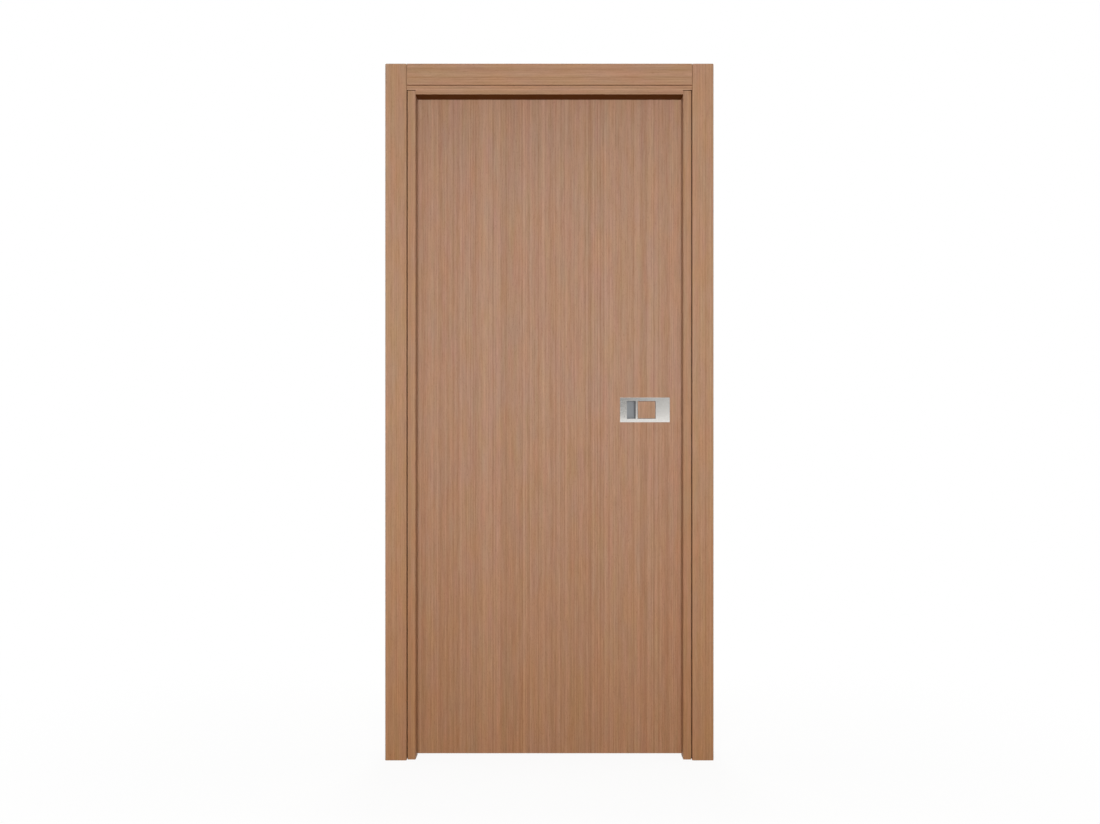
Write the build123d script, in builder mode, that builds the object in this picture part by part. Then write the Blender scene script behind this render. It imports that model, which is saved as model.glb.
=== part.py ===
from build123d import *
from math import cos, radians, sin, tan
import os

# A prehung door: a flush veneered leaf on butt hinges in a rebated timber frame with casings.
# Millimetres. X runs along the wall from the hinge side, Y through the wall from the side
# where the stop shows, Z up. The origin is at the foot of the hinge jamb, on the face that is
# fixed to the wall, at mid-depth.

# Doorway and jambs
OPENING_WIDTH = 805.0  # clear way between the jambs
OPENING_HEIGHT = 2000.0  # clear way from the floor to the head
JAMB_THICKNESS = 40.0  # wall face to the clear way, board and stop together
JAMB_DEPTH = 100.0  # thickness of the finished wall
REBATE_WIDTH = 13.0  # how far the stop stands past the rebate
JAMB_ARRIS = 2.5  # rounding of the stop's edges
JOINT_WIDTH = 2.0  # open line between a side jamb and the head
JOINT_DEPTH = 8.0

# Casings, each with a tongue in a groove of the jamb
CASING_WIDTH = 64.0
CASING_THICKNESS = 10.0
CASING_REVEAL = 26.0  # from the clear way to the casing
CASING_ARRIS = 3.5
CASING_JOINT_WIDTH = 1.2  # open line at each end of the head casing
CASING_JOINT_DEPTH = 4.0
SHADOW_GAP = 2.2  # groove left open beside the side casings
HEAD_SHADOW_GAP = 0.6  # groove left open under the head casing
TONGUE_THICKNESS = 5.0
TONGUE_LENGTH = 18.0
TONGUE_ROOM = 2.0  # groove left free past the tongue

# Leaf: two skins on a ring of stiles and rails
LEAF_THICKNESS = 40.0
LEAF_GAP = 5.0  # leaf to rebate
STOP_GAP = 5.0  # leaf to stop
FLOOR_GAP = 3.0
SKIN_THICKNESS = 5.0
STILE_WIDTH = 40.0
RAIL_HEIGHT = 60.0
LATCH_BEVEL = 3.0  # degrees, lets the latch edge swing out of the rebate
LEAF_ARRIS = 1.0

# Seals in the stop
SEAL_STEM_WIDTH = 3.8
SEAL_STEM_DEPTH = 6.0
SEAL_BULB_WIDTH = 9.0
SEAL_FIT = 0.1  # stem to groove
SEAL_TO_LEAF = 0.5
SEAL_ROOM = 1.0  # seal's end to the head

# Butt hinges
HINGE_HEIGHT = 100.0
HINGE_PLATE_WIDTH = 30.0
HINGE_PLATE_THICKNESS = 2.5
HINGE_END_DISTANCE = 230.0  # leaf's end to the middle of the outer hinges
KNUCKLE_COUNT = 5
KNUCKLE_RADIUS = 6.0
KNUCKLE_STANDOFF = 1.0  # knuckles clear of the leaf's face
KNUCKLE_GAP = 0.5
PIN_RADIUS = 3.0
PIN_FIT = 0.06
PIN_CAP_HEIGHT = 5.0
PIN_CAP_ROUND = 3.0

# Latch and strike
FACEPLATE_WIDTH = 20.0
FACEPLATE_HEIGHT = 200.0
FACEPLATE_THICKNESS = 3.0
LATCH_WIDTH = 10.0
LATCH_HEIGHT = 26.0
LATCH_LENGTH = 24.0
LATCH_FIT = 0.3
LATCH_SET_BACK = 0.5
STRIKE_WIDTH = 24.0
STRIKE_HEIGHT = 160.0
STRIKE_THICKNESS = 2.0
STRIKE_MARGIN = 3.0  # strike window around the latch
STRIKE_POCKET_DEPTH = 14.0
PLATE_ROUND = 4.0  # corners of faceplate and strike

# Flush handle on both faces of the leaf
HANDLE_HEIGHT = 1053.0  # floor to the middle of the handle
HANDLE_SETBACK = 34.0  # clear way's edge to the handle plate
HANDLE_PLATE_WIDTH = 153.0
HANDLE_PLATE_HEIGHT = 76.0
HANDLE_PLATE_THICKNESS = 5.0
HANDLE_CROWN_DROP = 3.0  # rise of the plate's arched front
HANDLE_PLATE_EDGE = 1.2  # rounding of the plate's edges
WINDOW_MARGIN = 21.0  # plate's end to the finger mouth
WINDOW_HEIGHT = 54.0
MOUTH_WIDTH = 27.0
BRIDGE_WIDTH = 6.0  # metal between the mouth and the inlay
INLAY_WIDTH = 53.0
INLAY_GAP = 1.0
INLAY_SET_BACK = 1.2  # behind the plate's face
CUP_DEPTH = 15.0
CUP_WALL = 2.0
CUP_UNDERCUT = 5.0  # how far the cup reaches behind the plate above and below the mouth
CUP_SCOOP = 12.0  # hollow at the cup's top
CUP_ROUND = 2.0  # corner at the cup's foot
CUP_FIT = 0.5  # cup to the hole in the skin

# Planes and edges that several pieces share
FRAME_WIDTH = OPENING_WIDTH + 2 * JAMB_THICKNESS
REBATE_INSET = JAMB_THICKNESS - REBATE_WIDTH  # wall face to rebate
REBATE_TOP = OPENING_HEIGHT + REBATE_WIDTH
HEAD_TOP = OPENING_HEIGHT + JAMB_THICKNESS
FRONT = -JAMB_DEPTH / 2
BACK = JAMB_DEPTH / 2
CASING_INSET = JAMB_THICKNESS - CASING_REVEAL  # wall face to the casing's inner edge
CASING_BOTTOM = OPENING_HEIGHT + CASING_REVEAL
CASING_TOP = CASING_BOTTOM + CASING_WIDTH
LEAF_BACK = BACK
LEAF_FRONT = LEAF_BACK - LEAF_THICKNESS
LEAF_MIDDLE = LEAF_BACK - LEAF_THICKNESS / 2
STOP_FACE = LEAF_FRONT - STOP_GAP
LEAF_LEFT = REBATE_INSET + LEAF_GAP
LEAF_RIGHT = FRAME_WIDTH - REBATE_INSET - LEAF_GAP
LEAF_BOTTOM = FLOOR_GAP
LEAF_TOP = REBATE_TOP - LEAF_GAP
LEAF_HEIGHT = LEAF_TOP - LEAF_BOTTOM
CORE_FRONT = LEAF_FRONT + SKIN_THICKNESS
CORE_BACK = LEAF_BACK - SKIN_THICKNESS
HINGE_X = REBATE_INSET + LEAF_GAP / 2
HINGE_Y = BACK + KNUCKLE_STANDOFF + KNUCKLE_RADIUS
HINGE_LEVELS = {
    "bottom": LEAF_BOTTOM + HINGE_END_DISTANCE,
    "middle": (LEAF_BOTTOM + LEAF_TOP) / 2,
    "top": LEAF_TOP - HINGE_END_DISTANCE,
}
KNUCKLE_PITCH = HINGE_HEIGHT / KNUCKLE_COUNT
KNUCKLE_HEIGHT = KNUCKLE_PITCH - KNUCKLE_GAP

# Handle measures along the leaf from the plate's left end, and up from the handle's middle
PLATE_LEFT = JAMB_THICKNESS + OPENING_WIDTH - HANDLE_SETBACK - HANDLE_PLATE_WIDTH
MOUTH_RIGHT = WINDOW_MARGIN + MOUTH_WIDTH
INLAY_LEFT = MOUTH_RIGHT + BRIDGE_WIDTH + INLAY_GAP
INLAY_RIGHT = INLAY_LEFT + INLAY_WIDTH
WINDOW_TOP = WINDOW_HEIGHT / 2
CUP_TOP = WINDOW_TOP + CUP_UNDERCUT

FRONT_FACE = Plane(origin=(PLATE_LEFT, LEAF_FRONT, HANDLE_HEIGHT), x_dir=(1, 0, 0), z_dir=(0, -1, 0))
BACK_FACE = Plane(origin=(PLATE_LEFT, LEAF_BACK, HANDLE_HEIGHT), x_dir=(1, 0, 0), z_dir=(0, 1, 0))

os.makedirs("parts", exist_ok=True)


def save(part, name):
    """Labels a finished piece and writes its file."""
    part.label = name
    export_step(part, f"parts/{name}.step")


def rectangle(x0, x1, y0, y1, mode=Mode.ADD):
    """Draws a rectangle between two corners of the sketch that is open."""
    with Locations(((x0 + x1) / 2, (y0 + y1) / 2)):
        Rectangle(abs(x1 - x0), abs(y1 - y0), mode=mode)


def from_hinge_side(distance):
    """X at a distance from the hinge jamb's wall face."""
    return distance


def from_strike_side(distance):
    """X at a distance from the strike jamb's wall face."""
    return FRAME_WIDTH - distance


def latch_edge(y):
    """X of the leaf's bevelled latch edge at a depth in the wall."""
    return LEAF_RIGHT - (LEAF_BACK - y) * tan(radians(LATCH_BEVEL))


LATCH_FACE = Plane(
    origin=(latch_edge(LEAF_MIDDLE), LEAF_MIDDLE, HANDLE_HEIGHT),
    x_dir=(sin(radians(LATCH_BEVEL)), cos(radians(LATCH_BEVEL)), 0),
    z_dir=(cos(radians(LATCH_BEVEL)), -sin(radians(LATCH_BEVEL)), 0),
)
STRIKE_FACE = Plane(
    origin=(from_strike_side(REBATE_INSET), LEAF_MIDDLE, HANDLE_HEIGHT),
    x_dir=(0, -1, 0),
    z_dir=(-1, 0, 0),
)


def tongue_grooves(inner, outer, x_at):
    """Cuts both casing grooves in a side jamb's section."""
    for face, inward in ((FRONT, 1), (BACK, -1)):
        bottom = face + inward * (TONGUE_LENGTH + TONGUE_ROOM)
        rectangle(x_at(outer), x_at(inner), face, bottom, Mode.SUBTRACT)


def side_jamb(x_at):
    """A side jamb's board up to the head, with the casings' grooves and the open line at its top."""
    with BuildPart() as jamb:
        with BuildSketch():
            rectangle(x_at(0), x_at(REBATE_INSET), FRONT, BACK)
            tongue_grooves(CASING_INSET + SHADOW_GAP, CASING_INSET - TONGUE_THICKNESS, x_at)
        extrude(amount=REBATE_TOP)
        with BuildSketch(Plane.XY.offset(REBATE_TOP)):
            rectangle(x_at(0), x_at(REBATE_INSET), FRONT, FRONT + JOINT_DEPTH)
            rectangle(x_at(0), x_at(REBATE_INSET), BACK - JOINT_DEPTH, BACK)
        extrude(amount=-JOINT_WIDTH, mode=Mode.SUBTRACT)
    return jamb.part


def side_stop(x_at, opening_end, name):
    """The stop on a side jamb, flush with its front; opening_end picks its edges beside the clear way."""
    seal = REBATE_INSET + REBATE_WIDTH / 2
    half_groove = SEAL_STEM_WIDTH / 2 + SEAL_FIT
    groove_floor = STOP_FACE - SEAL_STEM_DEPTH - SEAL_FIT
    with BuildPart() as stop:
        with BuildSketch() as section:
            rectangle(x_at(REBATE_INSET), x_at(JAMB_THICKNESS), FRONT, STOP_FACE)
            fillet(section.vertices().group_by(Axis.X)[opening_end], JAMB_ARRIS)
            groove = x_at(seal - half_groove), x_at(seal + half_groove)
            rectangle(*groove, groove_floor, STOP_FACE, Mode.SUBTRACT)
        extrude(amount=REBATE_TOP)
        with BuildSketch(Plane.XY.offset(REBATE_TOP)):
            rectangle(x_at(REBATE_INSET), x_at(JAMB_THICKNESS), FRONT, FRONT + JOINT_DEPTH)
        extrude(amount=-JOINT_WIDTH, mode=Mode.SUBTRACT)
    save(stop.part, name)


side_stop(from_hinge_side, -1, "hinge_stop")
side_stop(from_strike_side, 0, "strike_stop")

# Hinge jamb, let in for the frame plates of the hinges
plain_hinge_jamb = side_jamb(from_hinge_side)
with BuildPart() as hinge_jamb:
    add(plain_hinge_jamb)
    for level in HINGE_LEVELS.values():
        with BuildSketch(Plane.XY.offset(level - HINGE_HEIGHT / 2)):
            rectangle(REBATE_INSET - HINGE_PLATE_THICKNESS, REBATE_INSET, BACK - HINGE_PLATE_WIDTH, BACK)
        extrude(amount=HINGE_HEIGHT, mode=Mode.SUBTRACT)
save(hinge_jamb.part, "hinge_jamb")

# Strike jamb, let in for the strike plate and with a pocket behind its window
plain_strike_jamb = side_jamb(from_strike_side)
with BuildPart() as strike_jamb:
    add(plain_strike_jamb)
    with BuildSketch(STRIKE_FACE):
        RectangleRounded(STRIKE_WIDTH, STRIKE_HEIGHT, PLATE_ROUND)
    extrude(amount=-STRIKE_THICKNESS, mode=Mode.SUBTRACT)
    with BuildSketch(STRIKE_FACE):
        Rectangle(LATCH_WIDTH + 2 * STRIKE_MARGIN, LATCH_HEIGHT + 2 * STRIKE_MARGIN)
    extrude(amount=-STRIKE_POCKET_DEPTH, mode=Mode.SUBTRACT)
save(strike_jamb.part, "strike_jamb")

# Head jamb: a board over both side jambs
with BuildPart() as head_jamb:
    with BuildSketch(Plane.YZ):
        rectangle(FRONT, BACK, REBATE_TOP, HEAD_TOP)
        for face, inward in ((FRONT, 1), (BACK, -1)):
            bottom = face + inward * (TONGUE_LENGTH + TONGUE_ROOM)
            low = CASING_BOTTOM - HEAD_SHADOW_GAP
            high = CASING_BOTTOM + TONGUE_THICKNESS
            rectangle(face, bottom, low, high, Mode.SUBTRACT)
    extrude(amount=FRAME_WIDTH)
save(head_jamb.part, "head_jamb")

# Head stop, under the head jamb and fitted between the side stops
with BuildPart() as head_stop:
    with BuildSketch(Plane.YZ.offset(JAMB_THICKNESS)) as section:
        rectangle(FRONT, STOP_FACE, OPENING_HEIGHT, REBATE_TOP)
        fillet(section.vertices().group_by(Axis.Y)[0], JAMB_ARRIS)
        seal = OPENING_HEIGHT + REBATE_WIDTH / 2
        half_groove = SEAL_STEM_WIDTH / 2 + SEAL_FIT
        depth = SEAL_STEM_DEPTH + SEAL_FIT
        rectangle(STOP_FACE - depth, STOP_FACE, seal - half_groove, seal + half_groove, Mode.SUBTRACT)
    extrude(amount=OPENING_WIDTH)
save(head_stop.part, "head_stop")


def side_casing(x_at, outward, name):
    """A casing up the side of the doorway on the wall's front (-1) or back (1)."""
    wall = outward * JAMB_DEPTH / 2
    show = wall + outward * CASING_THICKNESS
    with BuildPart() as casing:
        with BuildSketch() as section:
            rectangle(x_at(CASING_INSET - CASING_WIDTH), x_at(CASING_INSET), wall, show)
            outer_end = -1 if outward > 0 else 0
            fillet(section.vertices().group_by(Axis.Y)[outer_end], CASING_ARRIS)
        extrude(amount=CASING_TOP)
        top_edges = casing.faces().sort_by(Axis.Z)[-1].edges()
        fillet(top_edges.group_by(Axis.Y)[outer_end], CASING_ARRIS)
        with BuildSketch():
            tip = wall - outward * TONGUE_LENGTH
            rectangle(x_at(CASING_INSET - TONGUE_THICKNESS), x_at(CASING_INSET), tip, wall)
        extrude(amount=REBATE_TOP - TONGUE_ROOM)
    save(casing.part, name)


def head_casing(outward, name):
    """The casing over the doorway, butted between the side casings."""
    wall = outward * JAMB_DEPTH / 2
    show = wall + outward * CASING_THICKNESS
    with BuildPart() as casing:
        with BuildSketch(Plane.YZ.offset(CASING_INSET)) as section:
            rectangle(wall, show, CASING_BOTTOM, CASING_TOP)
            outer_end = -1 if outward > 0 else 0
            fillet(section.vertices().group_by(Axis.X)[outer_end], CASING_ARRIS)
            tip = wall - outward * TONGUE_LENGTH
            rectangle(tip, wall, CASING_BOTTOM, CASING_BOTTOM + TONGUE_THICKNESS)
        extrude(amount=FRAME_WIDTH - 2 * CASING_INSET)
        with BuildSketch(Plane.XY.offset(CASING_BOTTOM)):
            joint_floor = show - outward * CASING_JOINT_DEPTH
            for x_at in (from_hinge_side, from_strike_side):
                rectangle(x_at(CASING_INSET), x_at(CASING_INSET + CASING_JOINT_WIDTH), joint_floor, show)
        extrude(amount=CASING_WIDTH, mode=Mode.SUBTRACT)
    save(casing.part, name)


for side, outward in (("front", -1), ("back", 1)):
    side_casing(from_hinge_side, outward, f"{side}_casing_hinge_side")
    side_casing(from_strike_side, outward, f"{side}_casing_strike_side")
    head_casing(outward, f"{side}_casing_head")


def seal_section(across_at):
    """A stem in the stop's groove with a bulb that meets the leaf; across runs over the stop."""
    middle = REBATE_INSET + REBATE_WIDTH / 2
    bulb = SEAL_BULB_WIDTH / 2
    stem = SEAL_STEM_WIDTH / 2
    left, right, centre = across_at(middle - bulb), across_at(middle + bulb), across_at(middle)
    with BuildLine(mode=Mode.PRIVATE) as outline:
        Line((left, STOP_FACE), (right, STOP_FACE))
        ThreePointArc((right, STOP_FACE), (centre, LEAF_FRONT - SEAL_TO_LEAF), (left, STOP_FACE))
    make_face(outline.edges())
    rectangle(across_at(middle - stem), across_at(middle + stem), STOP_FACE - SEAL_STEM_DEPTH, STOP_FACE)


def side_seal(x_at, name):
    """A seal up one side jamb."""
    with BuildPart() as seal:
        with BuildSketch():
            seal_section(x_at)
        extrude(amount=REBATE_TOP - SEAL_ROOM)
    save(seal.part, name)


side_seal(from_hinge_side, "seal_hinge_side")
side_seal(from_strike_side, "seal_strike_side")

# Head seal: the same section lying along the head's stop, between the side jambs
HEAD_SECTION = Plane(origin=(JAMB_THICKNESS, 0, 0), x_dir=(0, 0, -1), z_dir=(1, 0, 0))
with BuildPart() as seal_head:
    with BuildSketch(HEAD_SECTION):
        seal_section(lambda distance: distance - HEAD_TOP)
    extrude(amount=OPENING_WIDTH)
save(seal_head.part, "seal_head")


def leaf_skin(inner, outer):
    """A face of the leaf, with the hole that the finger cup goes through."""
    with BuildPart() as skin:
        with BuildSketch(Plane.XY.offset(LEAF_BOTTOM)) as section:
            with BuildLine():
                Polyline(
                    (LEAF_LEFT, inner),
                    (latch_edge(inner), inner),
                    (latch_edge(outer), outer),
                    (LEAF_LEFT, outer),
                    close=True,
                )
            make_face()
            outer_end = -1 if outer > inner else 0
            fillet(section.vertices().group_by(Axis.Y)[outer_end], LEAF_ARRIS)
        extrude(amount=LEAF_HEIGHT)
        with BuildSketch(Plane.XZ.offset(-max(inner, outer))):
            reach = CUP_WALL + CUP_FIT
            left = PLATE_LEFT + WINDOW_MARGIN - reach
            right = PLATE_LEFT + MOUTH_RIGHT + reach
            half = CUP_TOP + reach
            rectangle(left, right, HANDLE_HEIGHT - half, HANDLE_HEIGHT + half)
        extrude(amount=SKIN_THICKNESS, mode=Mode.SUBTRACT)
    return skin.part


def let_in_hinges(low_y):
    """Cuts the three hinge plates' seats in the leaf piece that is open."""
    for level in HINGE_LEVELS.values():
        with Locations((LEAF_LEFT, low_y, level)):
            Box(
                HINGE_PLATE_THICKNESS,
                LEAF_BACK - low_y,
                HINGE_HEIGHT,
                align=(Align.MIN, Align.MIN, Align.CENTER),
                mode=Mode.SUBTRACT,
            )


save(leaf_skin(CORE_FRONT, LEAF_FRONT), "front_skin")

plain_back_skin = leaf_skin(CORE_BACK, LEAF_BACK)
with BuildPart() as back_skin:
    add(plain_back_skin)
    let_in_hinges(CORE_BACK)
save(back_skin.part, "back_skin")

with BuildPart() as hinge_stile:
    with BuildSketch(Plane.XY.offset(LEAF_BOTTOM)):
        rectangle(LEAF_LEFT, LEAF_LEFT + STILE_WIDTH, CORE_FRONT, CORE_BACK)
    extrude(amount=LEAF_HEIGHT)
    let_in_hinges(LEAF_BACK - HINGE_PLATE_WIDTH)
save(hinge_stile.part, "hinge_stile")

# Latch stile, bevelled, let in for the faceplate and with a pocket for the latch
with BuildPart() as latch_stile:
    with BuildSketch(Plane.XY.offset(LEAF_BOTTOM)):
        with BuildLine():
            Polyline(
                (LEAF_RIGHT - STILE_WIDTH, CORE_FRONT),
                (latch_edge(CORE_FRONT), CORE_FRONT),
                (latch_edge(CORE_BACK), CORE_BACK),
                (LEAF_RIGHT - STILE_WIDTH, CORE_BACK),
                close=True,
            )
        make_face()
    extrude(amount=LEAF_HEIGHT)
    with BuildSketch(LATCH_FACE):
        RectangleRounded(FACEPLATE_WIDTH, FACEPLATE_HEIGHT, PLATE_ROUND)
    extrude(amount=-FACEPLATE_THICKNESS, mode=Mode.SUBTRACT)
    with BuildSketch(LATCH_FACE):
        Rectangle(LATCH_WIDTH, LATCH_HEIGHT)
    extrude(amount=-LATCH_SET_BACK - LATCH_LENGTH, mode=Mode.SUBTRACT)
save(latch_stile.part, "latch_stile")


def rail(bottom, name):
    """A rail across the leaf between the stiles."""
    with BuildPart() as piece:
        with BuildSketch(Plane.XY.offset(bottom)):
            rectangle(LEAF_LEFT + STILE_WIDTH, LEAF_RIGHT - STILE_WIDTH, CORE_FRONT, CORE_BACK)
        extrude(amount=RAIL_HEIGHT)
    save(piece.part, name)


rail(LEAF_BOTTOM, "bottom_rail")
rail(LEAF_TOP - RAIL_HEIGHT, "top_rail")


def hinge_plate(level, x0, x1, knuckles, name):
    """One plate of a butt hinge with its own knuckles, counted from the bottom."""
    bottom = level - HINGE_HEIGHT / 2
    with BuildPart() as plate:
        with BuildSketch(Plane.XY.offset(bottom)):
            rectangle(x0, x1, BACK - HINGE_PLATE_WIDTH, BACK)
        extrude(amount=HINGE_HEIGHT)
        for knuckle in knuckles:
            with BuildSketch(Plane.XY.offset(bottom + knuckle * KNUCKLE_PITCH + KNUCKLE_GAP / 2)):
                with Locations((HINGE_X, HINGE_Y)):
                    Circle(KNUCKLE_RADIUS)
                rectangle(x0, x1, BACK, HINGE_Y)
                with Locations((HINGE_X, HINGE_Y)):
                    Circle(PIN_RADIUS + PIN_FIT, mode=Mode.SUBTRACT)
            extrude(amount=KNUCKLE_HEIGHT)
    save(plate.part, name)


def hinge_pin(level, name):
    """A hinge pin with a domed cap at each end."""
    half = HINGE_HEIGHT / 2 - KNUCKLE_GAP / 2
    with BuildPart() as pin:
        with BuildSketch(Plane.XY.offset(level - half)):
            with Locations((HINGE_X, HINGE_Y)):
                Circle(PIN_RADIUS)
        extrude(amount=2 * half)
        for end, direction in ((level + half, 1), (level - half, -1)):
            with BuildSketch(Plane.XY.offset(end)):
                with Locations((HINGE_X, HINGE_Y)):
                    Circle(KNUCKLE_RADIUS)
            extrude(amount=direction * PIN_CAP_HEIGHT)
        ends = pin.faces().filter_by(Axis.Z).sort_by(Axis.Z)
        fillet(ends[0].edges() + ends[-1].edges(), PIN_CAP_ROUND)
    save(pin.part, name)


for place, level in HINGE_LEVELS.items():
    frame_x = REBATE_INSET - HINGE_PLATE_THICKNESS
    leaf_x = LEAF_LEFT + HINGE_PLATE_THICKNESS
    hinge_plate(level, frame_x, REBATE_INSET, range(0, KNUCKLE_COUNT, 2), f"{place}_hinge_frame_plate")
    hinge_plate(level, LEAF_LEFT, leaf_x, range(1, KNUCKLE_COUNT, 2), f"{place}_hinge_leaf_plate")
    hinge_pin(level, f"{place}_hinge_pin")

# Latch faceplate, flush with the bevelled edge
with BuildPart() as latch_faceplate:
    with BuildSketch(LATCH_FACE):
        RectangleRounded(FACEPLATE_WIDTH, FACEPLATE_HEIGHT, PLATE_ROUND)
        Rectangle(LATCH_WIDTH, LATCH_HEIGHT, mode=Mode.SUBTRACT)
    extrude(amount=-FACEPLATE_THICKNESS)
save(latch_faceplate.part, "latch_faceplate")

# Magnetic latch, which lies back in its faceplate until it meets the strike
with BuildPart() as latch_bolt:
    with BuildSketch(LATCH_FACE.offset(-LATCH_SET_BACK)):
        Rectangle(LATCH_WIDTH - 2 * LATCH_FIT, LATCH_HEIGHT - 2 * LATCH_FIT)
    extrude(amount=-LATCH_LENGTH)
save(latch_bolt.part, "latch_bolt")

# Strike plate, flush with the rebate
with BuildPart() as strike_plate:
    with BuildSketch(STRIKE_FACE):
        RectangleRounded(STRIKE_WIDTH, STRIKE_HEIGHT, PLATE_ROUND)
        Rectangle(LATCH_WIDTH + 2 * STRIKE_MARGIN, LATCH_HEIGHT + 2 * STRIKE_MARGIN, mode=Mode.SUBTRACT)
    extrude(amount=-STRIKE_THICKNESS)
save(strike_plate.part, "strike_plate")


def across_handle(side_face, distance):
    """A plane that cuts across the handle at a distance from the plate's left end, its X out of the leaf."""
    origin = side_face.from_local_coords((distance, 0, 0))
    return Plane(origin=origin, x_dir=side_face.z_dir, z_dir=(1, 0, 0))


def crown_section(set_back):
    """Draws the handle's section: flat on the leaf and arched in front, set back by a distance."""
    top = HANDLE_PLATE_HEIGHT / 2
    show = HANDLE_PLATE_THICKNESS - set_back
    rim = show - HANDLE_CROWN_DROP
    with BuildLine(mode=Mode.PRIVATE) as outline:
        Polyline((rim, -top), (0, -top), (0, top), (rim, top))
        ThreePointArc((rim, top), (show, 0), (rim, -top))
    make_face(outline.edges())


def handle_plate(side_face, outward, name):
    """The handle's arched metal cover, with a window for the mouth and one for the wood inlay;
    outward is -1 on the wall's front and 1 on its back."""
    with BuildPart() as plate:
        with BuildSketch(across_handle(side_face, 0)) as section:
            crown_section(0)
            fillet(section.vertices().group_by(Axis.X)[-1], HANDLE_PLATE_EDGE)
        extrude(amount=HANDLE_PLATE_WIDTH)
        for end in plate.faces().filter_by(Axis.X):
            rim_edges = end.edges().sort_by(Axis.Y)[1:] if outward > 0 else end.edges().sort_by(Axis.Y)[:-1]
            fillet(rim_edges, HANDLE_PLATE_EDGE)
        with BuildSketch(side_face):
            rectangle(WINDOW_MARGIN, MOUTH_RIGHT, -WINDOW_TOP, WINDOW_TOP)
            rectangle(INLAY_LEFT - INLAY_GAP, INLAY_RIGHT + INLAY_GAP, -WINDOW_TOP, WINDOW_TOP)
        extrude(amount=HANDLE_PLATE_THICKNESS, mode=Mode.SUBTRACT)
    save(plate.part, name)


def finger_cup(side_face, outward, name):
    """The pull's cup behind the mouth, hollowed at its top and reaching behind the plate."""
    outer_top = CUP_TOP + CUP_WALL
    with BuildPart() as cup:
        with BuildSketch(side_face):
            rectangle(WINDOW_MARGIN - CUP_WALL, MOUTH_RIGHT + CUP_WALL, -outer_top, outer_top)
        extrude(amount=-CUP_DEPTH - CUP_WALL)
        with BuildSketch(across_handle(side_face, WINDOW_MARGIN)) as hollow:
            rectangle(-CUP_DEPTH, 0, -CUP_TOP, CUP_TOP)
            low_corner, high_corner = hollow.vertices().group_by(Axis.X)[0].sort_by(Axis.Y, outward < 0)
            fillet(low_corner, CUP_ROUND)
            fillet(high_corner, CUP_SCOOP)
        extrude(amount=MOUTH_WIDTH, mode=Mode.SUBTRACT)
    save(cup.part, name)


def wood_inlay(side_face, name):
    """The wood tile in the plate's second window, on the leaf's face and arched like the plate."""
    inlay_top = WINDOW_TOP - INLAY_GAP
    with BuildPart() as inlay:
        with BuildSketch(across_handle(side_face, INLAY_LEFT)):
            crown_section(INLAY_SET_BACK)
            rectangle(0, HANDLE_PLATE_THICKNESS, -inlay_top, inlay_top, Mode.INTERSECT)
        extrude(amount=INLAY_WIDTH)
    save(inlay.part, name)


for side, side_face, outward in (("front", FRONT_FACE, -1), ("back", BACK_FACE, 1)):
    handle_plate(side_face, outward, f"{side}_handle_plate")
    finger_cup(side_face, outward, f"{side}_finger_cup")
    wood_inlay(side_face, f"{side}_handle_inlay")
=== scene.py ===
import math

import bmesh
import bpy
from mathutils import Matrix, Vector


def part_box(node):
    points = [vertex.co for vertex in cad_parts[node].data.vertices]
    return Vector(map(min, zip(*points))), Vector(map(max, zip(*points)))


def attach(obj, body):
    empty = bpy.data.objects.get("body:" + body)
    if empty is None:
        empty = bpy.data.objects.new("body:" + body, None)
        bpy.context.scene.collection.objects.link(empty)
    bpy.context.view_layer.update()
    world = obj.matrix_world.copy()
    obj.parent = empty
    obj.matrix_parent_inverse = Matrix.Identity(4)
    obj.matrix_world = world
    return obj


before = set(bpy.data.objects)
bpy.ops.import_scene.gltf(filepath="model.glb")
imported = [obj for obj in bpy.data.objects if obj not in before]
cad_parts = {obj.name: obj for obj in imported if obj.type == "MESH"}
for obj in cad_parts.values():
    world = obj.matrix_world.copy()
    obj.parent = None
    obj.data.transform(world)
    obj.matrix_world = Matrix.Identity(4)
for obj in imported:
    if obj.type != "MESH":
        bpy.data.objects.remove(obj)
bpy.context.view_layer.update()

scene = bpy.context.scene
MM = 0.001

# The wall's two faces, with the way each looks along Y, and the hinges from the floor up
FACES = (("front", -1), ("back", 1))
HINGES = ("bottom", "middle", "top")

# Axes that grain and brushing run along: across the door, or up it
LEVEL, UPRIGHT = 0, 2

# Sockets of a Mix node that mixes colours
MIX_FACTOR, MIX_FIRST, MIX_SECOND, MIX_RESULT = 0, 6, 7, 2


def linear(colour):
    """An sRGB hex colour as linear red, green, blue and alpha."""
    parts = [int(colour[place : place + 2], 16) / 255 for place in (1, 3, 5)]
    return [c / 12.92 if c <= 0.04045 else ((c + 0.055) / 1.055) ** 2.4 for c in parts] + [1.0]


def add(tree, kind, inputs=None, **settings):
    """Adds a node with its settings, and sets or links its input sockets."""
    made = tree.nodes.new(kind)
    for setting, value in settings.items():
        setattr(made, setting, value)
    for socket, value in (inputs or {}).items():
        if isinstance(value, bpy.types.NodeSocket):
            tree.links.new(value, made.inputs[socket])
        else:
            made.inputs[socket].default_value = value
    return made


def new_material(name):
    """A plain node material, with its tree and its shader."""
    material = bpy.data.materials.new(name)
    material.use_nodes = True
    return material, material.node_tree, material.node_tree.nodes["Principled BSDF"]
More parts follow.
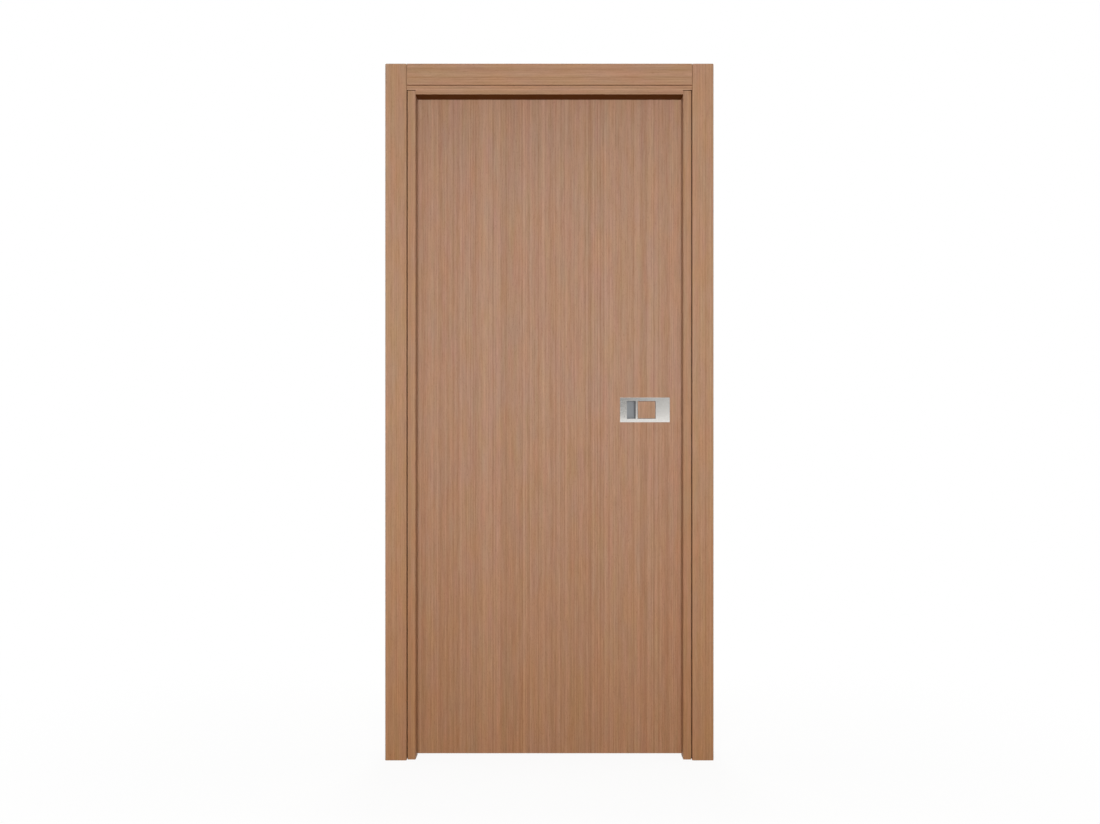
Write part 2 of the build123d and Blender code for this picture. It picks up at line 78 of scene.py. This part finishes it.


# Veneer: straight-grained wood sliced thin and glued up in fine lines, under satin lacquer.
# The eye gets thin straight lines from end to end, shorter streaks between them, slow drifts from
# pinkish brown to olive and from mauve to yellow, fibres and open pores up close, speckled cut ends,
# and a soft sheen with no clear reflection. A darker, warmer foot and a paler, cooler upper part are
# painted shade and painted sheen. Fibres and pores are drawn coarser than life so that they show.

# Each figure in the wood: its width, its length along the grain and its detail
LINES = (4.4 * MM, 9000 * MM, 4.0)
STREAKS = (3.0 * MM, 65 * MM, 2.0)
DRIFTS = (18 * MM, 150 * MM, 2.0)
BLUSHES = (30 * MM, 110 * MM, 1.0)
PORES = (0.45 * MM, 7 * MM, 0.0)
FIBRES = (0.6 * MM, 45 * MM, 1.0)
END_FLECKS = (0.9 * MM, 0.9 * MM, 2.0)
LINE_SHARE, STREAK_SHARE = 0.62, 0.38

# Noise values that a pattern mostly lies between, that the two tints stand at, and that open a pore
NOISE_LOW, NOISE_HIGH = 0.3, 0.7
TONE_LOW, TONE_HIGH = 0.305, 0.695
PORE_FROM, PORE_TO, PORE_SHADE = 0.62, 0.8, 0.4

# Dark and pale tint of each kind of piece, and the colours of open pores and of the painted shade on
# undersides
LEAF_TINTS = ("#997256", "#ba9277")
FRAME_TINTS = ("#9c7454", "#b99071")
# The head's tints are a paler copy of the frame's: painted light on the head jamb's face under its casing
HEAD_LIT_TINTS = ("#a37b5b", "#c09778")
EDGE_TINTS = ("#916c4d", "#ae886a")
INLAY_TINTS = ("#9d795e", "#ba957b")
PORE_COLOUR, UNDERSIDE_SHADE_COLOUR = "#5d3a22", "#5c3005"

# Casts: factors on the tint's linear red, green, blue and alpha; the height cast is painted shade at the
# foot and painted sheen above it, and the foot's shade ends at a height
PINKISH, OLIVE = (1.028, 0.974, 1.0, 1.0), (0.972, 1.026, 1.0, 1.0)
MAUVE, YELLOWISH = (0.982, 1.0, 1.065, 1.0), (1.018, 1.0, 0.935, 1.0)
DARK_FIBRE, PALE_FIBRE = (0.92, 0.91, 0.90, 1.0), (1.08, 1.09, 1.10, 1.0)
FOOT_PAINTED_SHADE, TOP_PAINTED_SHEEN, PAINTED_SHADE_HEIGHT = (0.965, 0.87, 0.755, 1.0), (1.0, 1.03, 1.10, 1.0), 1.15

# How squarely a face looks along the grain to be a cut end, or down to take the painted shade, as cosines
SQUARE_FROM, SQUARE_TO = 0.8, 0.95

# Lacquer: rougher on the dark lines, sunk into the pores, and nearly matt over the painted shade
DARK_LINE_ROUGHNESS, PALE_LINE_ROUGHNESS = 0.54, 0.46
PORE_RELIEF, PORE_DEPTH = 0.25, 0.06 * MM
LACQUER_IOR, LACQUER_SPECULAR, SHADE_SPECULAR = 1.48, 0.25, 0.05


def grain_figures(tree, place, grain, board):
    """A noise for each figure in the wood, drawn out along the grain; board picks the piece of wood."""
    figures = []
    for width, length, detail in (LINES, STREAKS, DRIFTS, BLUSHES, PORES, FIBRES, END_FLECKS):
        stretch = [1 / width] * 3
        stretch[grain] = 1 / length
        drawn_out = add(tree, "ShaderNodeMapping", {"Vector": place, "Scale": stretch})
        noise = add(
            tree,
            "ShaderNodeTexNoise",
            {"Vector": drawn_out.outputs[0], "W": board, "Scale": 1.0, "Detail": detail},
            noise_dimensions="4D",
        )
        figures.append(noise.outputs[0])
    return figures


def wood_colour(tree, figure, tints, casts):
    """The wood's colour along the grain: two tints by the figure, then each cast by its own measure."""
    tone = add(
        tree,
        "ShaderNodeMapRange",
        {"Value": figure, "From Min": TONE_LOW, "From Max": TONE_HIGH},
    )
    wood = add(
        tree,
        "ShaderNodeMix",
        {MIX_FACTOR: tone.outputs[0], MIX_FIRST: linear(tints[0]), MIX_SECOND: linear(tints[1])},
        data_type="RGBA",
    )
    for measure, low, high, first, second in casts:
        share = add(tree, "ShaderNodeMapRange", {"Value": measure, "From Min": low, "From Max": high})
        cast = add(
            tree,
            "ShaderNodeMix",
            {MIX_FACTOR: share.outputs[0], MIX_FIRST: first, MIX_SECOND: second},
            data_type="RGBA",
        )
        wood = add(
            tree,
            "ShaderNodeMix",
            {MIX_FACTOR: 1.0, MIX_FIRST: wood.outputs[MIX_RESULT], MIX_SECOND: cast.outputs[MIX_RESULT]},
            data_type="RGBA",
            blend_type="MULTIPLY",
        )
    return wood.outputs[MIX_RESULT]


def veneer(name, grain, board, tints, shaded_underside=False):
    """Veneer with its grain level or upright; board picks the piece of wood, and a board with a shaded
    underside is painted dark as shade on the face that looks down."""
    material, tree, shader = new_material(name)
    place = add(tree, "ShaderNodeTexCoord").outputs["Object"]
    lines, streaks, drift, blush, pores, fibres, flecks = grain_figures(tree, place, grain, board)
    streak_part = add(tree, "ShaderNodeMath", {0: streaks, 1: STREAK_SHARE}, operation="MULTIPLY")
    figure = add(
        tree,
        "ShaderNodeMath",
        {0: lines, 1: LINE_SHARE, 2: streak_part.outputs[0]},
        operation="MULTIPLY_ADD",
    ).outputs[0]
    height = add(tree, "ShaderNodeSeparateXYZ", {0: place}).outputs[UPRIGHT]
    casts = (
        (drift, NOISE_LOW, NOISE_HIGH, PINKISH, OLIVE),
        (blush, NOISE_LOW, NOISE_HIGH, MAUVE, YELLOWISH),
        (fibres, NOISE_LOW, NOISE_HIGH, DARK_FIBRE, PALE_FIBRE),
        # Painted shade that darkens and warms the foot, and painted sheen that pales the wood above
        (height, 0.0, PAINTED_SHADE_HEIGHT, FOOT_PAINTED_SHADE, TOP_PAINTED_SHEEN),
    )
    colour = wood_colour(tree, figure, tints, casts)
    open_pores = add(
        tree,
        "ShaderNodeMapRange",
        {"Value": pores, "From Min": PORE_FROM, "From Max": PORE_TO, "To Max": PORE_SHADE},
    ).outputs[0]
    normal = add(tree, "ShaderNodeNewGeometry").outputs["True Normal"]
    facing = add(tree, "ShaderNodeSeparateXYZ", {0: normal}).outputs
    towards_end = add(tree, "ShaderNodeMath", {0: facing[grain]}, operation="ABSOLUTE")
    cut_end = add(
        tree,
        "ShaderNodeMapRange",
        {"Value": towards_end.outputs[0], "From Min": SQUARE_FROM, "From Max": SQUARE_TO},
    ).outputs[0]
    end_grain = add(
        tree,
        "ShaderNodeMix",
        {MIX_FACTOR: flecks, MIX_FIRST: linear(PORE_COLOUR), MIX_SECOND: linear(tints[1])},
        data_type="RGBA",
    ).outputs[MIX_RESULT]
    layers = [(open_pores, linear(PORE_COLOUR)), (cut_end, end_grain)]
    # Painted shade on faces that look down, standing in for the unlit underside
    if shaded_underside:
        looks_down = add(
            tree,
            "ShaderNodeMapRange",
            {"Value": facing[UPRIGHT], "From Min": -SQUARE_FROM, "From Max": -SQUARE_TO},
        )
        layers.append((looks_down.outputs[0], linear(UNDERSIDE_SHADE_COLOUR)))
    for share, over in layers:
        colour = add(
            tree,
            "ShaderNodeMix",
            {MIX_FACTOR: share, MIX_FIRST: colour, MIX_SECOND: over},
            data_type="RGBA",
        ).outputs[MIX_RESULT]
    tree.links.new(colour, shader.inputs["Base Color"])
    sheen = add(
        tree,
        "ShaderNodeMapRange",
        {
            "Value": figure,
            "From Min": NOISE_LOW,
            "From Max": NOISE_HIGH,
            "To Min": DARK_LINE_ROUGHNESS,
            "To Max": PALE_LINE_ROUGHNESS,
        },
    )
    tree.links.new(sheen.outputs[0], shader.inputs["Roughness"])
    relief = add(
        tree,
        "ShaderNodeBump",
        {"Height": open_pores, "Strength": PORE_RELIEF, "Distance": PORE_DEPTH},
        invert=True,
    )
    tree.links.new(relief.outputs[0], shader.inputs["Normal"])
    shader.inputs["IOR"].default_value = LACQUER_IOR
    shader.inputs["Specular IOR Level"].default_value = SHADE_SPECULAR if shaded_underside else LACQUER_SPECULAR
    return material


# Brushed metal: lines along the brushing break each reflection into soft streaks. They are drawn
# coarser than life so that they show.
BRUSH_WIDTH, BRUSH_LENGTH, BRUSH_DETAIL = 0.35 * MM, 30 * MM, 3.0
BRUSH_SHADE, GLOSS_SPREAD = 0.86, 0.05
BRUSH_RELIEF, BRUSH_DEPTH = 0.12, 0.02 * MM


def brushed_metal(name, colour, rough, brush_axis):
    """A brushed metal; the lines run along one axis and change its shade, its gloss and its relief."""
    material, tree, shader = new_material(name)
    place = add(tree, "ShaderNodeTexCoord").outputs["Object"]
    stretch = [1 / BRUSH_WIDTH] * 3
    stretch[brush_axis] = 1 / BRUSH_LENGTH
    drawn_out = add(tree, "ShaderNodeMapping", {"Vector": place, "Scale": stretch})
    brush = add(
        tree,
        "ShaderNodeTexNoise",
        {"Vector": drawn_out.outputs[0], "Scale": 1.0, "Detail": BRUSH_DETAIL},
    ).outputs[0]
    bright = linear(colour)
    shaded = [BRUSH_SHADE * c for c in bright[:3]] + [1.0]
    tone = add(
        tree,
        "ShaderNodeMix",
        {MIX_FACTOR: brush, MIX_FIRST: bright, MIX_SECOND: shaded},
        data_type="RGBA",
    )
    tree.links.new(tone.outputs[MIX_RESULT], shader.inputs["Base Color"])
    gloss = add(
        tree,
        "ShaderNodeMapRange",
        {
            "Value": brush,
            "From Min": NOISE_LOW,
            "From Max": NOISE_HIGH,
            "To Min": rough - GLOSS_SPREAD,
            "To Max": rough + GLOSS_SPREAD,
        },
    )
    tree.links.new(gloss.outputs[0], shader.inputs["Roughness"])
    relief = add(
        tree,
        "ShaderNodeBump",
        {"Height": brush, "Strength": BRUSH_RELIEF, "Distance": BRUSH_DEPTH},
    )
    tree.links.new(relief.outputs[0], shader.inputs["Normal"])
    shader.inputs["Metallic"].default_value = 1.0
    return material


# Moulded rubber, and the painted shade in the screws' recesses: a fine even grit that keeps the sheen dull
GRIT_DETAIL, GRIT_RELIEF, GRIT_DEPTH = 2.0, 0.2, 0.05 * MM
RUBBER_GRIT, RECESS_SHADE_GRIT = 0.5 * MM, 0.3 * MM


def moulded(name, light, dark, grit, rough):
    """A surface with a fine even grit between two close shades."""
    material, tree, shader = new_material(name)
    place = add(tree, "ShaderNodeTexCoord").outputs["Object"]
    speckle = add(
        tree,
        "ShaderNodeTexNoise",
        {"Vector": place, "Scale": 1 / grit, "Detail": GRIT_DETAIL},
    ).outputs[0]
    tone = add(
        tree,
        "ShaderNodeMix",
        {MIX_FACTOR: speckle, MIX_FIRST: linear(dark), MIX_SECOND: linear(light)},
        data_type="RGBA",
    )
    tree.links.new(tone.outputs[MIX_RESULT], shader.inputs["Base Color"])
    relief = add(
        tree,
        "ShaderNodeBump",
        {"Height": speckle, "Strength": GRIT_RELIEF, "Distance": GRIT_DEPTH},
    )
    tree.links.new(relief.outputs[0], shader.inputs["Normal"])
    shader.inputs["Roughness"].default_value = rough
    return material


def dress(finish, nodes):
    """Gives CAD nodes their finish."""
    for node in nodes:
        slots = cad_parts[node].data.materials
        slots.clear()
        slots.append(finish)


# Each veneer: what it is on, the way of its grain, the piece of wood, its tints and its nodes
VENEERS = (
    ("leaf_front", UPRIGHT, 312.6, LEAF_TINTS, ("front_skin",)),
    ("leaf_back", UPRIGHT, 8.1, LEAF_TINTS, ("back_skin",)),
    ("inlay", UPRIGHT, 15.2, INLAY_TINTS, ("front_handle_inlay", "back_handle_inlay")),
    ("hinge_side", UPRIGHT, 21.4, FRAME_TINTS, ("hinge_jamb",)),
    ("strike_side", UPRIGHT, 27.9, FRAME_TINTS, ("strike_jamb",)),
    ("hinge_casing", UPRIGHT, 33.3, FRAME_TINTS, ("front_casing_hinge_side", "back_casing_hinge_side")),
    ("strike_casing", UPRIGHT, 39.6, FRAME_TINTS, ("front_casing_strike_side", "back_casing_strike_side")),
    ("head", LEVEL, 345.5, HEAD_LIT_TINTS, ("head_jamb",)),
    ("hinge_stop", UPRIGHT, 69.1, FRAME_TINTS, ("hinge_stop",)),
    ("strike_stop", UPRIGHT, 75.4, FRAME_TINTS, ("strike_stop",)),
    ("head_stop", LEVEL, 81.7, FRAME_TINTS, ("head_stop",)),
    ("head_casing", LEVEL, 51.8, FRAME_TINTS, ("front_casing_head", "back_casing_head")),
)
# Boards whose downward faces are painted dark as shade
SHADED_UNDERSIDE_BOARDS = ("head", "head_stop")
for board_name, grain, board, tints, nodes in VENEERS:
    sheet_name = f"satin_lacquered_veneer_{board_name}"
    dress(veneer(sheet_name, grain, board, tints, shaded_underside=board_name in SHADED_UNDERSIDE_BOARDS), nodes)

# Edge timber: solid wood under the same lacquer, a little darker, on the leaf's four edges
dress(veneer("lacquered_edge_timber_upright", UPRIGHT, 57.2, EDGE_TINTS), ("hinge_stile", "latch_stile"))
dress(veneer("lacquered_edge_timber_level", LEVEL, 63.9, EDGE_TINTS), ("top_rail", "bottom_rail"))

# Satin nickel on the cast handle plates: bright soft reflections, slightly warm
satin_nickel = brushed_metal("brushed_satin_nickel", "#f0ede8", rough=0.24, brush_axis=LEVEL)
dress(satin_nickel, ("front_handle_plate", "back_handle_plate"))

# Stainless steel on hinges, latch and strike: a plain grey with duller reflections
satin_steel = brushed_metal("brushed_stainless_steel", "#b9b7b2", rough=0.32, brush_axis=UPRIGHT)
dress(satin_steel, ("strike_plate", "latch_faceplate", "latch_bolt"))
for level in HINGES:
    dress(satin_steel, [f"{level}_hinge_{piece}" for piece in ("frame_plate", "leaf_plate", "pin")])

# Anodised aluminium in the finger cups: a cool grey, soft enough that the cup reads as a hollow
cup_grey = brushed_metal("grey_anodised_aluminium", "#b6b9bc", rough=0.34, brush_axis=UPRIGHT)
dress(cup_grey, ("front_finger_cup", "back_finger_cup"))

# Rubber: warm dark brown with hardly any shine in the seals, and nearly black in the inlays' gaskets,
# which are painted shade in the gap round each inlay
seal_brown = moulded("brown_seal_rubber", "#4a3527", "#3f2c20", RUBBER_GRIT, rough=0.62)
gasket_shade_brown = moulded("shade_dark_gasket_rubber", "#2a1c14", "#20150f", RUBBER_GRIT, rough=0.62)
dress(seal_brown, ("seal_hinge_side", "seal_strike_side", "seal_head"))

# Painted shade in the screws' recesses: a dark dull cross in each bright head
recess_painted_shade = moulded("painted_shade_screw_recess", "#2b2a28", "#1d1c1b", RECESS_SHADE_GRIT, rough=0.55)


def extrude(shape, faces, way):
    """Extrudes faces by a vector, and returns the faces at the far end."""
    made = bmesh.ops.extrude_face_region(shape, geom=faces)["geom"]
    moved = [part for part in made if isinstance(part, bmesh.types.BMVert)]
    bmesh.ops.translate(shape, verts=moved, vec=way)
    return [part for part in made if isinstance(part, bmesh.types.BMFace)]


def upright_panel(width, height):
    """A flat panel of one face round the origin, square to Y."""
    shape = bmesh.new()
    bmesh.ops.create_grid(shape, x_segments=1, y_segments=1, size=0.5)
    bmesh.ops.rotate(shape, verts=shape.verts[:], matrix=Matrix.Rotation(math.pi / 2, 3, "X"))
    bmesh.ops.scale(shape, verts=shape.verts[:], vec=(width, 1, height))
    return shape


def make_piece(name, shape, *finishes):
    """Makes a shape an object with its finishes."""
    mesh = bpy.data.meshes.new(name)
    shape.to_mesh(mesh)
    shape.free()
    for finish in finishes:
        mesh.materials.append(finish)
    piece = bpy.data.objects.new(name, mesh)
    scene.collection.objects.link(piece)
    return piece


# Screws: low countersunk heads with a cross recess, seated on the plates that they hold.
# A head's sizes are shares of its radius, and the bevel on its rim is a share of its rise. A face on
# the flat top looks up, and lies near the rise, by at least FLAT_TOP. Turns are in radians.
HEAD_STEPS, RIM_STEPS = 24, 2
HEAD_RISE, HALF_SLOT, SLOT_ARM, SLOT_DEPTH = 0.16, 0.2, 0.62, 0.1
RIM_BEVEL, FLAT_TOP = 0.8, 0.9
FIRST_TURN, NEXT_TURN = 0.3, 0.7


def screw_head(radius):
    """A screw head at the origin, facing up, as a mesh with its second finish, painted shade, in the
    recess.
    """
    rise, half_slot = HEAD_RISE * radius, HALF_SLOT * radius
    arm, depth = SLOT_ARM * radius, SLOT_DEPTH * radius
    shape = bmesh.new()
    bmesh.ops.create_circle(shape, cap_ends=True, segments=HEAD_STEPS, radius=radius)
    extrude(shape, shape.faces[:], (0, 0, rise))
    rim = [e for e in shape.edges if all(v.co.z > rise / 2 for v in e.verts)]
    bmesh.ops.bevel(
        shape,
        geom=rim,
        offset=RIM_BEVEL * rise,
        affect="EDGES",
        segments=RIM_STEPS,
        profile=0.5,
        material=-1,
    )
    for axis in ((1, 0, 0), (0, 1, 0)):
        for at in (-arm, -half_slot, half_slot, arm):
            bmesh.ops.bisect_plane(
                shape,
                geom=shape.verts[:] + shape.edges[:] + shape.faces[:],
                plane_co=Vector(axis) * at,
                plane_no=axis,
            )
    recess = []
    for face in shape.faces:
        middle = face.calc_center_median()
        across, along = sorted((abs(middle.x), abs(middle.y)))
        on_top = face.normal.z > FLAT_TOP and middle.z > FLAT_TOP * rise
        if on_top and across < half_slot and along < arm:
            recess.append(face)
    for face in extrude(shape, recess, (0, 0, -depth)):
        face.material_index = 1
    bmesh.ops.delete(shape, geom=recess, context="FACES")
    bmesh.ops.recalc_face_normals(shape, faces=shape.faces[:])
    mesh = bpy.data.meshes.new("screw_head")
    shape.to_mesh(mesh)
    shape.free()
    return mesh


def screws(name, seats, radius, body, finish):
    """Screw heads on a plate, each at a point and facing a way, as one piece that rides with the plate."""
    head = screw_head(radius)
    shape = bmesh.new()
    for count, (place, facing) in enumerate(seats):
        known = len(shape.verts)
        shape.from_mesh(head)
        shape.verts.ensure_lookup_table()
        turn = Vector(facing).to_track_quat("Z", "Y").to_matrix().to_4x4()
        spin = Matrix.Rotation(FIRST_TURN + NEXT_TURN * count, 4, "Z")
        seated = Matrix.Translation(place) @ turn @ spin
        bmesh.ops.transform(shape, matrix=seated, verts=shape.verts[known:])
    bpy.data.meshes.remove(head)
    piece = make_piece(name, shape, finish, recess_painted_shade)
    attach(piece, body)


# Handle screws, on the arch of the plate
HANDLE_SCREW_RADIUS, HANDLE_SCREW_INSET, HANDLE_SCREW_RISE = 2.0 * MM, 13.5 * MM, 21 * MM
CROWN_DROP = 3.0 * MM
for side, outward in FACES:
    low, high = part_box(f"{side}_handle_plate")
    half = (high.z - low.z) / 2
    arch = (half**2 + CROWN_DROP**2) / (2 * CROWN_DROP)
    lean = math.asin(HANDLE_SCREW_RISE / arch)
    crown = low.y if outward < 0 else high.y
    depth = crown - outward * arch * (1 - math.cos(lean))
    seats = []
    for up in (-1, 1):
        place = Vector((low.x + HANDLE_SCREW_INSET, depth, low.z + half + up * HANDLE_SCREW_RISE))
        seats.append((place, (0, outward * math.cos(lean), up * math.sin(lean))))
    screws(f"{side}_handle_screws", seats, HANDLE_SCREW_RADIUS, "leaf", satin_nickel)

# Hinge screws, three to a plate, on the faces that look at each other across the gap
HINGE_SCREW_RADIUS, HINGE_GAP = 3.8 * MM, 5.0 * MM
HINGE_SCREW_SEATS = ((9 * MM, -35 * MM), (18 * MM, 0), (9 * MM, 35 * MM))
for level in HINGES:
    low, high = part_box(f"{level}_hinge_pin")
    pin = (low + high) / 2
    for plate, body, outward in (("frame_plate", "frame", 1), ("leaf_plate", "leaf", -1)):
        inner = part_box(f"{level}_hinge_{plate}")[0].y
        seats = [
            (Vector((pin.x - outward * HINGE_GAP / 2, inner + deep, pin.z + up)), (outward, 0, 0))
            for deep, up in HINGE_SCREW_SEATS
        ]
        screws(f"{level}_{plate}_screws", seats, HINGE_SCREW_RADIUS, body, satin_steel)

# Latch and strike screws, near the ends of their plates
PLATE_SCREW_RADIUS, PLATE_SCREW_INSET = 3.4 * MM, 14 * MM
LATCH_BEVEL, FACEPLATE_THICKNESS = math.radians(3), 3.0 * MM


def end_seats(low, high, face, outward):
    """Screw seats near both ends of an upright plate, below and above the middle of its face."""
    reach = Vector((0, 0, (high.z - low.z) / 2 - PLATE_SCREW_INSET))
    return [(face - reach, outward), (face + reach, outward)]


low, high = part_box("latch_faceplate")
outward = Vector((math.cos(LATCH_BEVEL), -math.sin(LATCH_BEVEL), 0))
face = (low + high) / 2 + outward * FACEPLATE_THICKNESS / 2
seats = end_seats(low, high, face, outward)
screws("latch_screws", seats, PLATE_SCREW_RADIUS, "leaf", satin_steel)
low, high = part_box("strike_plate")
face = Vector((low.x, (low.y + high.y) / 2, (low.z + high.z) / 2))
seats = end_seats(low, high, face, (-1, 0, 0))
screws("strike_screws", seats, PLATE_SCREW_RADIUS, "frame", satin_steel)

# Gaskets: soft brown frames in the gap between the handle's plate and the wood inlay, painted shade that
# darkens the gap
INLAY_GAP, GASKET_SET_BACK = 1.0 * MM, 2.2 * MM
for side, outward in FACES:
    low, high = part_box(f"{side}_handle_inlay")
    foot = high.y if outward < 0 else low.y
    rise = (high.y - low.y) - GASKET_SET_BACK
    shape = upright_panel(high.x - low.x + 2 * INLAY_GAP, high.z - low.z + 2 * INLAY_GAP)
    bmesh.ops.inset_region(
        shape, faces=shape.faces[:], thickness=INLAY_GAP, use_boundary=True, use_even_offset=True
    )
    window = min(shape.faces, key=lambda part: part.calc_center_median().length)
    bmesh.ops.delete(shape, geom=[window], context="FACES")
    extrude(shape, shape.faces[:], (0, outward * rise, 0))
    middle = ((low.x + high.x) / 2, foot, (low.z + high.z) / 2)
    bmesh.ops.translate(shape, verts=shape.verts[:], vec=middle)
    bmesh.ops.recalc_face_normals(shape, faces=shape.faces[:])
    gasket = make_piece(f"{side}_inlay_shade_gasket", shape, gasket_shade_brown)
    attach(gasket, "leaf")

# Studio: a white backdrop for the camera and for metal, and a low even light for the rest
WHITE, AMBIENT = "#ffffff", 0.12


def seen_directly(tree):
    """1 for what the camera sees, also in metal and through glass, and 0 for light that bounces."""
    rays = add(tree, "ShaderNodeLightPath").outputs
    most = rays["Is Camera Ray"]
    for ray in ("Is Glossy Ray", "Is Transmission Ray"):
        most = add(tree, "ShaderNodeMath", {0: most, 1: rays[ray]}, operation="MAXIMUM").outputs[0]
    return most


world = bpy.data.worlds.new("white_studio")
scene.world = world
world.use_nodes = True
studio = world.node_tree
studio.nodes.clear()
ambient = add(studio, "ShaderNodeBackground", {"Color": linear(WHITE), "Strength": AMBIENT})
backdrop = add(studio, "ShaderNodeBackground", {"Color": linear(WHITE), "Strength": 1.0})
both = add(
    studio,
    "ShaderNodeMixShader",
    {0: seen_directly(studio), 1: ambient.outputs[0], 2: backdrop.outputs[0]},
)
add(studio, "ShaderNodeOutputWorld", {"Surface": both.outputs[0]})

# Floor: matt paint that the camera sees as white, with a faint soft shadow round the door's foot, and
# that throws little light back up. The middle is the doorway's, along the wall.
MIDDLE = 0.44
FLOOR_REACH, FLOOR_DROP = 30.0, 0.5 * MM
FLOOR_BOUNCE, FLOOR_PAINT = "#8c8378", "#f4f4f2"
SHADOW_FROM, SHADOW_REACH, SHADOW_DEPTH = 0.6, 2.2, 0.09
floor_paint, tree, shader = new_material("pale_matt_floor_paint")
tree.nodes.remove(shader)
place = add(tree, "ShaderNodeTexCoord").outputs["Object"]
centred = add(tree, "ShaderNodeMapping", {"Vector": place, "Location": (-MIDDLE, 0, 0)})
away = add(tree, "ShaderNodeVectorMath", {0: centred.outputs[0]}, operation="LENGTH")
shade = add(
    tree,
    "ShaderNodeMapRange",
    {
        "Value": away.outputs["Value"],
        "From Min": SHADOW_FROM,
        "From Max": SHADOW_REACH,
        "To Min": SHADOW_DEPTH,
        "To Max": 0.0,
    },
    interpolation_type="SMOOTHSTEP",
)
paint = add(tree, "ShaderNodeBsdfDiffuse", {"Color": linear(FLOOR_PAINT)})
white = add(tree, "ShaderNodeEmission", {"Color": linear(WHITE), "Strength": 1.0})
shaded = add(
    tree,
    "ShaderNodeMixShader",
    {0: shade.outputs[0], 1: white.outputs[0], 2: paint.outputs[0]},
)
bounce = add(tree, "ShaderNodeBsdfDiffuse", {"Color": linear(FLOOR_BOUNCE)})
floor_look = add(
    tree,
    "ShaderNodeMixShader",
    {0: seen_directly(tree), 1: bounce.outputs[0], 2: shaded.outputs[0]},
)
tree.links.new(floor_look.outputs[0], tree.nodes["Material Output"].inputs["Surface"])
floor_shape = bmesh.new()
bmesh.ops.create_grid(floor_shape, x_segments=2, y_segments=2, size=FLOOR_REACH)
bmesh.ops.translate(floor_shape, verts=floor_shape.verts[:], vec=(MIDDLE, 0, -FLOOR_DROP))
floor = make_piece("floor", floor_shape, floor_paint)

# Soft lamps: the place of each, the point that it faces, its width, height and power
SOFTBOXES = {
    "front_softbox": ((0.4, -3.3, 1.35), (MIDDLE, 0, 1.35), 1.4, 1.2, 98),
    "back_softbox": ((0.48, 3.3, 1.35), (MIDDLE, 0, 1.35), 1.4, 1.2, 98),
    "hinge_side_softbox": ((-3.2, 0.5, 1.6), (MIDDLE, 0.5, 1.1), 1.6, 2.2, 28),
    "strike_side_softbox": ((4.1, 0.5, 1.6), (MIDDLE, 0.5, 1.1), 1.6, 2.2, 28),
    "top_softbox": ((MIDDLE, 0, 4.6), (MIDDLE, 0, 0), 2.4, 2.4, 50),
}
for name, (place, target, width, height, power) in SOFTBOXES.items():
    lamp = bpy.data.lights.new(name, "AREA")
    lamp.shape = "RECTANGLE"
    lamp.size, lamp.size_y, lamp.energy = width, height, power
    stand = bpy.data.objects.new(name, lamp)
    stand.location = place
    stand.rotation_euler = (Vector(target) - Vector(place)).to_track_quat("-Z", "Y").to_euler()
    stand.visible_glossy = False
    scene.collection.objects.link(stand)

# Grey cards that only the metal sees, one before each face of the wall, darker towards the top
# and the hinge side, so that the handle's plate runs from grey at its top to white at its foot
CARD_LEFT, CARD_RIGHT, CARD_LOW, CARD_HIGH, CARD_AWAY = -5.0, 6.0, 0.02, 6.0, 5.0
CARD_FOOT_LEVEL, CARD_TOP_LEVEL, CARD_FADE = 0.88, 0.61, 2.75
CARD_SIDE_FROM, CARD_SIDE_TO, CARD_SIDE_DROP, CARD_SIDE_RISE = 0.95, 1.3, -0.5, 0.18
card_grey, tree, shader = new_material("grey_reflection_card")
tree.nodes.remove(shader)
place = add(tree, "ShaderNodeTexCoord").outputs["Object"]
spot = add(tree, "ShaderNodeSeparateXYZ", {0: place}).outputs
fade = add(
    tree,
    "ShaderNodeMapRange",
    {
        "Value": spot[UPRIGHT],
        "From Max": CARD_FADE,
        "To Min": CARD_FOOT_LEVEL,
        "To Max": CARD_TOP_LEVEL,
    },
)
side_fade = add(
    tree,
    "ShaderNodeMapRange",
    {
        "Value": spot[LEVEL],
        "From Min": CARD_SIDE_FROM,
        "From Max": CARD_SIDE_TO,
        "To Min": CARD_SIDE_DROP,
        "To Max": CARD_SIDE_RISE,
    },
    interpolation_type="SMOOTHSTEP",
)
brightness = add(tree, "ShaderNodeMath", {0: fade.outputs[0], 1: side_fade.outputs[0]}, operation="ADD")
glow = add(tree, "ShaderNodeEmission", {"Color": linear(WHITE), "Strength": brightness.outputs[0]})
tree.links.new(glow.outputs[0], tree.nodes["Material Output"].inputs["Surface"])
for side, outward in FACES:
    card_shape = upright_panel(CARD_RIGHT - CARD_LEFT, CARD_HIGH - CARD_LOW)
    middle = ((CARD_LEFT + CARD_RIGHT) / 2, outward * CARD_AWAY, (CARD_LOW + CARD_HIGH) / 2)
    bmesh.ops.translate(card_shape, verts=card_shape.verts[:], vec=middle)
    card = make_piece(f"{side}_reflection_card", card_shape, card_grey)
    card.visible_camera = card.visible_diffuse = card.visible_shadow = False

# Camera, level and square to the wall
CAMERA_PLACE, CAMERA_LENS, CAMERA_SHIFT = (0.4443, -3.541, 0.9457), 38.0, 0.03
SENSOR_WIDTH = 36.0
camera_data = bpy.data.cameras.new("camera")
camera_data.sensor_width, camera_data.lens = SENSOR_WIDTH, CAMERA_LENS
camera_data.shift_y = CAMERA_SHIFT
camera = bpy.data.objects.new("camera", camera_data)
camera.location = CAMERA_PLACE
camera.rotation_euler = (math.pi / 2, 0, 0)
scene.collection.objects.link(camera)
scene.camera = camera
scene.view_settings.view_transform = "Standard"
